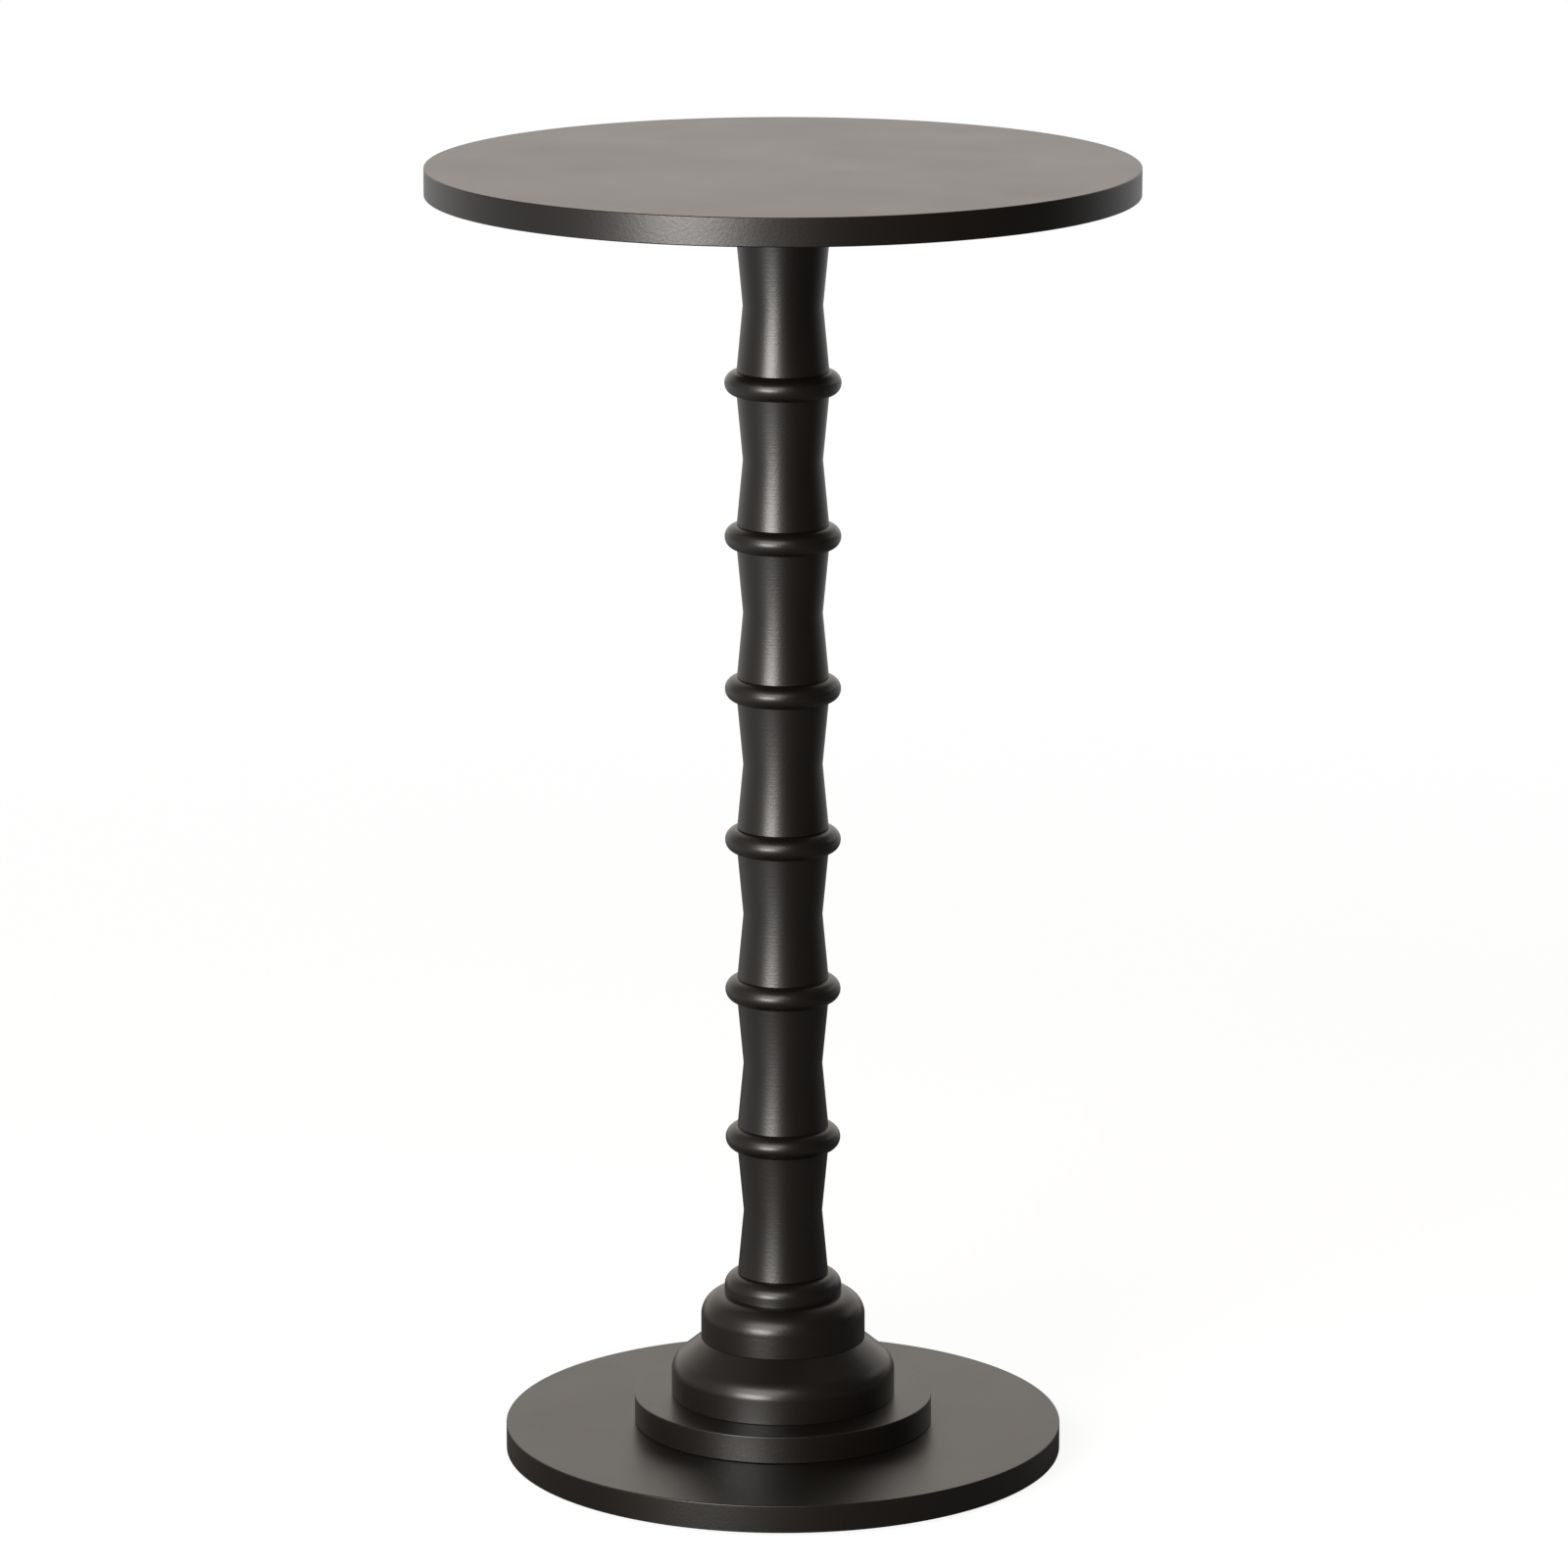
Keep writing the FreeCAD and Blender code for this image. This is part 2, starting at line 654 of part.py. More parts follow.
# every feature has to be sound, and every cut has to remove something, before anything is written
doc.recompute()
for feature in doc.Objects:
    if "Invalid" in feature.State or "Error" in feature.State:
        raise RuntimeError(f"{feature.Label} failed: {feature.State}")
    if feature.TypeId in ("PartDesign::Groove", "PartDesign::SubtractivePrism"):
        if feature.Shape.Volume >= feature.BaseFeature.Shape.Volume:
            raise RuntimeError(f"{feature.Label} cuts nothing")
for piece in pieces:
    if piece.Shape.isNull() or not piece.Shape.isValid():
        raise RuntimeError(f"{piece.Label} is not a sound solid")

os.makedirs("parts", exist_ok=True)
for piece in pieces:
    piece.Shape.exportStep(f"parts/{piece.Label}.step")
    box = piece.Shape.optimalBoundingBox()
    print(f"{piece.Label}: {len(piece.Shape.Solids)} solid(s), z {box.ZMin:.2f} to {box.ZMax:.2f}")
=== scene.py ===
import bmesh
import bpy
import json
import math
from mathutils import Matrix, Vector, noise


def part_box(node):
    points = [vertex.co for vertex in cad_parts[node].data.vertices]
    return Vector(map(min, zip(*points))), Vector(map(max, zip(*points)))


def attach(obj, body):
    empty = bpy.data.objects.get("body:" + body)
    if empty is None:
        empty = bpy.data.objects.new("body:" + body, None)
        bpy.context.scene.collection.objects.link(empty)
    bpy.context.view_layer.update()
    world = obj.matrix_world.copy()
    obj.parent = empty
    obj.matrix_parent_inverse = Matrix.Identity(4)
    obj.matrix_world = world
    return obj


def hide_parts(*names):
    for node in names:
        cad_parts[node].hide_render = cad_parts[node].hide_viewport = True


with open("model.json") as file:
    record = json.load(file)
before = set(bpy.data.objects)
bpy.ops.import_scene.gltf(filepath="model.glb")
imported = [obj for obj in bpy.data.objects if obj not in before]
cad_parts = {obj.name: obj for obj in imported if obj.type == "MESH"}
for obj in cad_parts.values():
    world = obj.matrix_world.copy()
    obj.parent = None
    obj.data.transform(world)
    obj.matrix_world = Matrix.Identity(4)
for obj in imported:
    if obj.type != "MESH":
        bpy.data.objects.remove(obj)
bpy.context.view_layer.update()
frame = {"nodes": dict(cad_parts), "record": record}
print("frame loaded:", len(frame["nodes"]), "pieces")

mm = 0.001
fullTurn = 2 * math.pi
quarterTurn = math.pi / 2


# shader maths as Python expressions

class Wire:
    # one output of a node; a sum of wires adds Math nodes
    def __init__(self, finish, socket):
        self.finish = finish
        self.socket = socket

    def maths(self, operation, first, second):
        return self.finish.add("ShaderNodeMath", {"operation": operation}, {0: first, 1: second})

    def __add__(self, other):
        return self.maths("ADD", self, other)

    def __radd__(self, other):
        return self.maths("ADD", other, self)

    def __sub__(self, other):
        return self.maths("SUBTRACT", self, other)

    def __rsub__(self, other):
        return self.maths("SUBTRACT", other, self)

    def __mul__(self, other):
        return self.maths("MULTIPLY", self, other)

    def __rmul__(self, other):
        return self.maths("MULTIPLY", other, self)


class Finish:
    # the node tree of a material or of the world
    def __init__(self, owner):
        owner.use_nodes = True
        self.owner = owner
        self.tree = owner.node_tree
        self.tree.nodes.clear()

    def add(self, kind, settings=None, inputs=None, output=0):
        node = self.tree.nodes.new(kind)
        for name, value in (settings or {}).items():
            setattr(node, name, value)
        for name, value in (inputs or {}).items():
            if isinstance(value, Wire):
                self.tree.links.new(value.socket, node.inputs[name])
            else:
                node.inputs[name].default_value = value
        return Wire(self, node.outputs[output]) if len(node.outputs) else None

    def place(self):
        return self.add("ShaderNodeTexCoord", output="Object")

    def unit(self, way):
        return self.add("ShaderNodeVectorMath", {"operation": "NORMALIZE"}, {0: way})

    def length(self, way):
        return self.add("ShaderNodeVectorMath", {"operation": "LENGTH"}, {0: way}, "Value")

    def stretch(self, place, amounts):
        return self.add("ShaderNodeVectorMath", {"operation": "MULTIPLY"}, {0: place, 1: amounts})

    def turned(self, place):
        # distance from the table's axis, and height: what a lathe tool marks
        out = self.length(self.stretch(place, (1, 1, 0)))
        up = self.add("ShaderNodeSeparateXYZ", {}, {0: place}, "Z")
        return self.add("ShaderNodeCombineXYZ", {}, {"X": out, "Z": up})

    def noise(self, place, size, detail=2.0, roughness=0.5):
        inputs = {"Vector": place, "Scale": 1 / size, "Detail": detail, "Roughness": roughness}
        return self.add("ShaderNodeTexNoise", {}, inputs)

    def blend(self, share, first, second):
        inputs = {0: share, 6: (*first, 1), 7: (*second, 1)}
        return self.add("ShaderNodeMix", {"data_type": "RGBA"}, inputs, output=2)

    def span(self, value, low, high):
        return self.add("ShaderNodeMapRange", {"interpolation_type": "SMOOTHSTEP"},
                        {0: value, 1: low, 2: high})

    def about(self, middle, value, spread):
        # a value from 0 to 1 moves the result to either side of the middle
        return middle + (value - 0.5) * spread

    def bump(self, height, depth, strength):
        inputs = {"Strength": strength, "Distance": depth, "Height": height}
        return self.add("ShaderNodeBump", {}, inputs)

    def surface(self, **inputs):
        named = {name.replace("_", " "): value for name, value in inputs.items()}
        self.show(self.add("ShaderNodeBsdfPrincipled", {}, named))

    def show(self, shader):
        ending = "World" if isinstance(self.owner, bpy.types.World) else "Material"
        self.add(f"ShaderNodeOutput{ending}", {}, {"Surface": shader})


def newFinish(name):
    return Finish(bpy.data.materials.new(name))


# finishes

boardPaint = {
    "shade": (0.0042, 0.0029, 0.0022),
    "thinShade": (0.0054, 0.0040, 0.0031),
    "roughness": 0.34,
    "roughnessSpread": 0.06,
    "shine": 0.5,
    "cloudSize": 45 * mm,
    "cloudShare": 0.6,           # of the colour; the rest is sanding
    "peelSize": 1.6 * mm,        # slight orange peel of a sprayed coat
    "peelShare": 0.6,            # of the relief; the rest is sanding
    "sandSize": 0.5 * mm,
    "latheSize": 0.0,            # no tool rings on a flat board
    "latheShare": 0.5,
    "reliefDepth": 0.08 * mm,
    "reliefStrength": 0.7,
}
turningPaint = boardPaint | {
    "roughness": 0.335,
    "latheSize": 0.8 * mm,       # faint tool rings under the paint
    "reliefStrength": 0.6,
}
plateCoat = {
    "shade": (0.010, 0.010, 0.010),
    "dustShade": (0.017, 0.017, 0.016),
    "roughness": 0.52,
    "roughnessSpread": 0.14,
    "cloudSize": 30 * mm,
    "cloudShare": 0.5,
    "grainSize": 0.55 * mm,
    "reliefDepth": 0.08 * mm,
    "reliefStrength": 0.5,
}
zincPlate = {
    "shade": (0.56, 0.57, 0.58),
    "passivated": (0.60, 0.58, 0.50),
    "roughness": 0.30,
    "roughnessSpread": 0.20,
    "cloudSize": 3.5 * mm,
    "cloudFrom": 0.4,
    "cloudTo": 0.75,
    "grainSize": 0.25 * mm,
    "reliefDepth": 0.02 * mm,
    "reliefStrength": 0.3,
}
feltPile = {
    "shade": (0.030, 0.029, 0.028),
    "fibreShade": (0.13, 0.126, 0.12),
    "roughness": 0.95,
    "sheen": 0.35,
    "clumpSize": 2.2 * mm,
    "clumpLevel": 0.5,
    "fibreSize": 0.35 * mm,
    "fibreLie": (1, 1, 0.4),     # stretches the fibres upwards a little
    "fibreRoughness": 0.7,
    "fibreFrom": 0.35,
    "fibreTo": 0.75,
    "fibreShare": 0.7,           # of the relief
    "reliefDepth": 0.25 * mm,
    "reliefStrength": 0.9,
}


def satinPaint(name, paint):
    finish = newFinish(name)
    place = finish.place()
    cloud = finish.noise(place, paint["cloudSize"], detail=4)
    peel = finish.noise(place, paint["peelSize"], detail=1)
    sand = finish.noise(place, paint["sandSize"])
    relief = peel * paint["peelShare"] + sand * (1 - paint["peelShare"])
    if paint["latheSize"]:
        relief = relief + finish.noise(finish.turned(place), paint["latheSize"]) * paint["latheShare"]
    tone = cloud * paint["cloudShare"] + sand * (1 - paint["cloudShare"])
    finish.surface(
        Base_Color=finish.blend(tone, paint["shade"], paint["thinShade"]),
        Roughness=finish.about(paint["roughness"], cloud, paint["roughnessSpread"]),
        Normal=finish.bump(relief, paint["reliefDepth"], paint["reliefStrength"]),
        Specular_IOR_Level=paint["shine"],
    )
    return finish.owner


def powderCoat(name, coat):
    finish = newFinish(name)
    place = finish.place()
    cloud = finish.noise(place, coat["cloudSize"], detail=3)
    grain = finish.noise(place, coat["grainSize"], detail=3)
    tone = cloud * coat["cloudShare"] + grain * (1 - coat["cloudShare"])
    finish.surface(
        Base_Color=finish.blend(tone, coat["shade"], coat["dustShade"]),
        Roughness=finish.about(coat["roughness"], grain, coat["roughnessSpread"]),
        Normal=finish.bump(grain, coat["reliefDepth"], coat["reliefStrength"]),
    )
    return finish.owner


def brightZinc(name, zinc):
    finish = newFinish(name)
    place = finish.place()
    cloud = finish.noise(place, zinc["cloudSize"], detail=4)
    grain = finish.noise(place, zinc["grainSize"])
    tone = finish.span(cloud, zinc["cloudFrom"], zinc["cloudTo"])
    finish.surface(
        Base_Color=finish.blend(tone, zinc["shade"], zinc["passivated"]),
        Roughness=finish.about(zinc["roughness"], cloud, zinc["roughnessSpread"]),
        Normal=finish.bump(grain, zinc["reliefDepth"], zinc["reliefStrength"]),
        Metallic=1.0,
    )
    return finish.owner


def pressedFelt(name, felt):
    finish = newFinish(name)
    place = finish.place()
    clump = finish.noise(place, felt["clumpSize"], detail=3)
    laid = finish.stretch(place, felt["fibreLie"])
    fibre = finish.noise(laid, felt["fibreSize"], detail=4, roughness=felt["fibreRoughness"])
    tone = finish.span(fibre, felt["fibreFrom"], felt["fibreTo"]) * (felt["clumpLevel"] + clump)
    relief = fibre * felt["fibreShare"] + clump * (1 - felt["fibreShare"])
    finish.surface(
        Base_Color=finish.blend(tone, felt["shade"], felt["fibreShade"]),
        Normal=finish.bump(relief, felt["reliefDepth"], felt["reliefStrength"]),
        Roughness=felt["roughness"],
        Sheen_Weight=felt["sheen"],
    )
    return finish.owner


finishes = {
    "painted_board": satinPaint("boardPaint", boardPaint),
    "painted_turning": satinPaint("turningPaint", turningPaint),
    "coated_plate": powderCoat("plateCoat", plateCoat),
    "zinc_steel": brightZinc("zincPlate", zincPlate),
    "felt": pressedFelt("feltPile", feltPile),
}
slotOfNode = {row["node"]: row["material_slot"] for row in frame["record"]["subparts"]}
print("finishes ready:", len(finishes))


# mesh helpers: rings of points about an upright axis, skinned with faces

def ring(bm, radius, height, sides, centre=(0, 0)):
    # a radius may be a function of the angle, and a radius of nothing is one point
    if radius == 0:
        return [bm.verts.new((*centre, height))]
    points = []
    for k in range(sides):
        angle = fullTurn * k / sides
        reach = radius(angle) if callable(radius) else radius
        level = height(angle) if callable(height) else height
        across, along = reach * math.cos(angle), reach * math.sin(angle)
        points.append(bm.verts.new((centre[0] + across, centre[1] + along, level)))
    return points


def skin(bm, rings, closed=False):
    pairs = list(zip(rings, rings[1:]))
    if closed:
        pairs.append((rings[-1], rings[0]))
    for low, high in pairs:
        for k in range(max(len(low), len(high))):
            below = low[k % len(low)], low[(k + 1) % len(low)]
            above = high[(k + 1) % len(high)], high[k % len(high)]
            bm.faces.new(dict.fromkeys(below + above))
    return rings


def turn(bm, outline, sides, centre=(0, 0), closed=False):
    return skin(bm, [ring(bm, *place, sides, centre) for place in outline], closed)


def fillFlat(bm, loops):
    # one flat face between an outer loop and the holes in it
    edges = []
    for loop in loops:
        for k, corner in enumerate(loop):
            pair = (loop[k - 1], corner)
            edges.append(bm.edges.get(pair) or bm.edges.new(pair))
    bmesh.ops.triangle_fill(bm, use_beauty=True, edges=edges)


def rounded(corners, stepDegrees=15):
    # an outline of (radius, height) corners; a third number rounds that corner off
    outline = []
    for k, (across, up, *rounding) in enumerate(corners):
        here = Vector((across, up))
        if not rounding:
            outline.append((across, up))
            continue
        back = (Vector(corners[k - 1][:2]) - here).normalized()
        ahead = (Vector(corners[(k + 1) % len(corners)][:2]) - here).normalized()
        bend = math.pi - back.angle(ahead)
        middle = here + (back + ahead).normalized() * (rounding[0] / math.cos(bend / 2))
        start = here + back * (rounding[0] * math.tan(bend / 2)) - middle
        swing = bend if back.x * ahead.y - back.y * ahead.x < 0 else -bend
        steps = max(2, math.ceil(math.degrees(bend) / stepDegrees))
        for step in range(steps + 1):
            angle = swing * step / steps
            turned = (start.x * math.cos(angle) - start.y * math.sin(angle),
                      start.x * math.sin(angle) + start.y * math.cos(angle))
            outline.append((middle.x + turned[0], middle.y + turned[1]))
    return outline


def curve(centre, radius, start, end, steps):
    angles = [start + (end - start) * step / steps for step in range(steps + 1)]
    return [(centre[0] + radius * math.cos(a), centre[1] + radius * math.sin(a)) for a in angles]


def spots(circle, count):
    return [(circle / 2 * math.cos(fullTurn * k / count), circle / 2 * math.sin(fullTurn * k / count))
            for k in range(count)]


def threadRings(bm, thread, start, end, sides, centre=(0, 0)):
    # a screw thread from start to end as rings whose radius follows the helix, pointed at the end if asked
    length, point = abs(end - start), thread.get("point", 0)
    rows = math.ceil(length / thread["pitch"] * thread["rowsPerTurn"])
    rings = []
    for row in range(rows + 1):
        height = start + (end - start) * row / rows
        left = abs(end - height)
        taper = min(1, left / point) if point else 1
        runOut = min(1, (length - left) / thread["pitch"], 1 if point else left / thread["pitch"])

        def reach(angle):
            phase = (height / thread["pitch"] - angle / fullTurn) % 1
            ridge = max(0, 1 - abs(2 * phase - 1) / thread["ridgeShare"])
            return taper * (thread["core"] + (thread["crest"] - thread["core"]) * ridge * runOut)

        rings.append(ring(bm, reach if taper else 0, height, sides, centre))
    return rings


def hexagon(acrossFlats):
    # distance from the axis to a hexagon's side, at an angle
    return lambda angle: acrossFlats / 2 / math.cos(angle % (math.pi / 3) - math.pi / 6)


def extents(node):
    low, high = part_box(node)
    return max(high.x, high.y), low.z, high.z      # outer radius, foot and head


def makePiece(name, bm, node, sharpDegrees=38):
    bmesh.ops.recalc_face_normals(bm, faces=bm.faces)
    mesh = bpy.data.meshes.new(name)
    bm.to_mesh(mesh)
    bm.free()
    mesh.shade_smooth()
    mesh.set_sharp_from_angle(angle=math.radians(sharpDegrees))
    mesh.materials.append(finishes[slotOfNode[node]])
    piece = bpy.data.objects.new(name, mesh)
    bpy.context.scene.collection.objects.link(piece)
    weights = piece.modifiers.new("weightedNormals", "WEIGHTED_NORMAL")
    weights.keep_sharp = True
    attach(piece, "root")
    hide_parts(node)


# painted boards and the plate under the top

plateScrew = {
    "circle": 84 * mm,
    "count": 6,
    "holeRadius": 2.1 * mm,
    "sinkRadius": 3.9 * mm,
    "sinkDepth": 1.8 * mm,
}
baseScrew = {
    "circle": 76 * mm,
    "count": 4,
    "holeRadius": 2.35 * mm,
    "sinkRadius": 4.6 * mm,
    "sinkDepth": 2.25 * mm,
}
boltHoleRadius = 4.5 * mm
threadHoleRadius = 4.1 * mm
holeSides = 32
boreSides = 64

board = {"sides": 192, "edge": 0.6 * mm}


def discRim(bm, node, disc):
    # the rounded rim of a disc, left open above and below
    radius, foot, head = extents(node)
    outline = rounded([(0, foot), (radius, foot, disc["edge"]), (radius, head, disc["edge"]), (0, head)])
    rings = turn(bm, outline[1:-1], disc["sides"])
    return rings[0], rings[-1], foot, head


def drill(bm, screw, outline):
    # the same hole at every screw, as its loops at the two ends
    holes = [turn(bm, outline, holeSides, spot) for spot in spots(screw["circle"], screw["count"])]
    return [hole[0] for hole in holes], [hole[-1] for hole in holes]


topRecess = {"radius": 12.5 * mm, "depth": 8.1 * mm, "pilotDepth": 6 * mm, "pilotPoint": 9.6 * mm}


def makeTopBoard():
    bm = bmesh.new()
    below, above, foot, head = discRim(bm, "table_top", board)
    skin(bm, [above, ring(bm, 0, head, 1)])
    depth = foot + topRecess["depth"]
    recess = turn(bm, [(topRecess["radius"], foot), (topRecess["radius"], depth), (0, depth)], boreSides)
    hole = plateScrew["holeRadius"]
    pilots = drill(bm, plateScrew, [
        (hole, foot), (hole, foot + topRecess["pilotDepth"]), (0, foot + topRecess["pilotPoint"])])
    fillFlat(bm, [below, recess[0], *pilots[0]])
    makePiece("topBoard", bm, "table_top")


def makePlinthBoard():
    bm = bmesh.new()
    below, above, foot, head = discRim(bm, "plinth_disc", board)
    bore = turn(bm, [(boltHoleRadius, foot), (boltHoleRadius, head)], boreSides)
    feet, heads = drill(bm, baseScrew, [(baseScrew["holeRadius"], foot), (baseScrew["holeRadius"], head)])
    fillFlat(bm, [below, bore[0], *feet])
    fillFlat(bm, [above, bore[-1], *heads])
    makePiece("plinthBoard", bm, "plinth_disc")


baseCounterbore = {"radius": 14.5 * mm, "depth": 9 * mm, "edge": 0.3 * mm}


def makeBaseBoard():
    bm = bmesh.new()
    below, above, foot, head = discRim(bm, "base_disc", board)
    wide, depth = baseCounterbore["radius"], foot + baseCounterbore["depth"]
    bore = turn(bm, [(wide + baseCounterbore["edge"], foot), (wide, foot + baseCounterbore["edge"]),
                     (wide, depth), (boltHoleRadius, depth), (boltHoleRadius, head)], boreSides)
    hole = baseScrew["holeRadius"]
    feet, heads = drill(bm, baseScrew, [
        (baseScrew["sinkRadius"], foot), (hole, foot + baseScrew["sinkDepth"]), (hole, head)])
    fillFlat(bm, [below, bore[0], *feet])
    fillFlat(bm, [above, bore[-1], *heads])
    makePiece("baseBoard", bm, "base_disc")


mountingPlate = {"sides": 128, "edge": 0.35 * mm}


def makeMountingPlate():
    bm = bmesh.new()
    below, above, foot, head = discRim(bm, "top_mounting_plate", mountingPlate)
    bore = turn(bm, [(threadHoleRadius, foot), (threadHoleRadius, head)], boreSides)
    hole = plateScrew["holeRadius"]
    feet, heads = drill(bm, plateScrew, [
        (plateScrew["sinkRadius"], foot), (hole, foot + plateScrew["sinkDepth"]), (hole, head)])
    fillFlat(bm, [below, bore[0], *feet])
    fillFlat(bm, [above, bore[-1], *heads])
    makePiece("mountingPlate", bm, "top_mounting_plate")


makeTopBoard()
makePlinthBoard()
makeBaseBoard()
makeMountingPlate()
print("boards and plate ready")


# turned column and collar

column = {
    "sides": 96,
    "pitch": 76.65 * mm,
    "neckRadius": 22.8 * mm,
    "waistRadius": 19.75 * mm,
    "beadRadius": 6 * mm,
    "beadSteps": 20,
    "edge": 0.3 * mm,            # broken edge where two turned lengths meet
    "lowerBeads": 3,
    "upperBeads": 4,
    "lowerBoltRoom": 20.6 * mm,  # from the foot up, for the bolt or stud that comes in
    "upperBoltRoom": 21.6 * mm,
}
insertSocket = {
    "flangeRadius": 9.1 * mm,
    "flangeDepth": 1.6 * mm,
    "barrelRadius": 6.6 * mm,
    "barrelDepth": 20 * mm,
}
studBore = {"radius": 3.8 * mm, "depth": 30 * mm, "point": 36.6 * mm}


def makeColumn(name, node, beads, boltRoom):
    foot, head = extents(node)[1:]
    neck, bead = column["neckRadius"], column["beadRadius"]
    barrel, flange = insertSocket["barrelRadius"], insertSocket["flangeRadius"]
    barrelTop, flangeTop = foot + insertSocket["barrelDepth"], foot + insertSocket["flangeDepth"]
    corners = [
        (0, foot + boltRoom), (boltHoleRadius, foot + boltRoom), (boltHoleRadius, barrelTop),
        (barrel, barrelTop), (barrel, flangeTop), (flange, flangeTop), (flange, foot),
        (neck, foot, column["edge"]),
    ]
    for k in range(beads):
        low = foot + k * column["pitch"]
        middle = low + column["pitch"] - bead
        if k:
            corners.append((neck, low))
        # one ring at the waist, so that the shading turns evenly all along the shaft
        corners.append((column["waistRadius"], (low + middle - bead) / 2))
        corners += curve((neck, middle), bead, -quarterTurn, quarterTurn, column["beadSteps"])[:-1]
    top = foot + beads * column["pitch"]
    if head - top > column["edge"]:                # a plain head over the last bead
        corners += [(neck, top), (neck, head, column["edge"])]
    else:
        corners.append((neck, head))
    corners += [(studBore["radius"], head), (studBore["radius"], head - studBore["depth"]),
                (0, head - studBore["point"])]
    bm = bmesh.new()
    turn(bm, rounded(corners), column["sides"])
    makePiece(name, bm, node)


beadCollar = {
    "sides": 128,
    "bandHeight": 23.4 * mm,
    "shoulder": 11.7 * mm,
    "shoulderSteps": 18,
    "beadSide": 3.9 * mm,        # upright side of the lowest bead, over the band
    "beadRadius": 6.6 * mm,
    "edge": 0.3 * mm,
}


def makeBeadCollar():
    band, foot, head = extents("bead_collar")
    neck, bead, bend = column["neckRadius"], beadCollar["beadRadius"], beadCollar["shoulder"]
    ledge = foot + beadCollar["bandHeight"]
    shoulder = curve((band - bend, ledge - bend), bend, 0, quarterTurn, beadCollar["shoulderSteps"])
    lowestBead = curve((neck, ledge + beadCollar["beadSide"]), bead, 0, quarterTurn, column["beadSteps"])
    corners = [(boltHoleRadius, foot), (band, foot, beadCollar["edge"]), *shoulder,
               (neck + bead, ledge), *lowestBead, (boltHoleRadius, head)]
    bm = bmesh.new()
    turn(bm, rounded(corners), beadCollar["sides"], closed=True)
    makePiece("beadCollarTurning", bm, "bead_collar")


flare = {
    "sides": 128,
    "sideHeight": 17.1 * mm,
    "shoulder": 11 * mm,
    "edge": 0.3 * mm,
    "stepDegrees": 5,
    "pilotDepth": 15 * mm,
    "pilotPoint": 20.6 * mm,
}


def makeFlaredCollar():
    wide, foot, head = extents("flared_collar")
    band = extents("bead_collar")[0]
    bm = bmesh.new()
    outline = rounded([
        (0, foot), (wide, foot, flare["edge"]), (wide, foot + flare["sideHeight"], flare["shoulder"]),
        (band, head, flare["edge"]), (boltHoleRadius, head), (boltHoleRadius, foot),
    ], flare["stepDegrees"])
    body = turn(bm, outline[1:], flare["sides"])
    hole = baseScrew["holeRadius"]
    pilots = drill(bm, baseScrew, [
        (hole, foot), (hole, foot + flare["pilotDepth"]), (0, foot + flare["pilotPoint"])])
    fillFlat(bm, [body[0], body[-1], *pilots[0]])
    makePiece("flaredTurning", bm, "flared_collar")


makeColumn("upperTurning", "upper_column", column["upperBeads"], column["upperBoltRoom"])
makeColumn("lowerTurning", "lower_column", column["lowerBeads"], column["lowerBoltRoom"])
makeBeadCollar()
makeFlaredCollar()
print("turned pieces ready")


# studs, inserts, nut and bolt

machineThread = {
    "pitch": 1.25 * mm,
    "core": 3.4 * mm,
    "crest": 4.0 * mm,
    "ridgeShare": 0.9,
    "rowsPerTurn": 6,
}
tappedThread = machineThread | {"core": 4.6 * mm, "crest": 4.1 * mm}
stud = {
    "sides": 32,
    "screwLength": 36 * mm,
    "chamfer": 1 * mm,
    "screw": {"pitch": 3.2 * mm, "core": 2.6 * mm, "crest": 3.7 * mm, "point": 6 * mm,
              "ridgeShare": 0.55, "rowsPerTurn": 10},
}


def makeStud(name, node):
    foot, head = extents(node)[1:]
    bm = bmesh.new()
    joint = foot + stud["screwLength"]
    wood = threadRings(bm, stud["screw"], joint, foot, stud["sides"])
    metal = threadRings(bm, machineThread, joint, head - stud["chamfer"], stud["sides"])
    end = ring(bm, machineThread["core"] - stud["chamfer"] / 2, head, stud["sides"])
    skin(bm, wood[::-1] + metal + [end, ring(bm, 0, head, 1)])
    makePiece(name, bm, node)


insert = {
    "sides": 48,
    "flangeRadius": 9 * mm,
    "flangeHeight": 1.6 * mm,
    "edge": 0.3 * mm,
    "knife": {"pitch": 3 * mm, "core": 5.6 * mm, "crest": 6.5 * mm, "ridgeShare": 0.5, "rowsPerTurn": 10},
}


def makeInsert(name, node):
    foot, head = extents(node)[1:]
    wide, flange, edge = insert["flangeRadius"], foot + insert["flangeHeight"], insert["edge"]
    bm = bmesh.new()
    brim = [ring(bm, *place, insert["sides"]) for place in (
        (threadHoleRadius + edge, foot), (wide - edge, foot), (wide, foot + edge), (wide, flange - edge),
        (wide - edge, flange))]
    knife = threadRings(bm, insert["knife"], flange, head - edge, insert["sides"])
    crown = [ring(bm, insert["knife"]["core"] - edge, head, insert["sides"]),
             ring(bm, threadHoleRadius + edge, head, insert["sides"])]
    tapped = threadRings(bm, tappedThread, head - edge, foot + edge, insert["sides"])
    skin(bm, brim + knife + crown + tapped, closed=True)
    makePiece(name, bm, node)


nut = {"sides": 72, "acrossFlats": 13 * mm, "flatRadius": 6.1 * mm, "slopeDegrees": 30, "edge": 0.5 * mm}


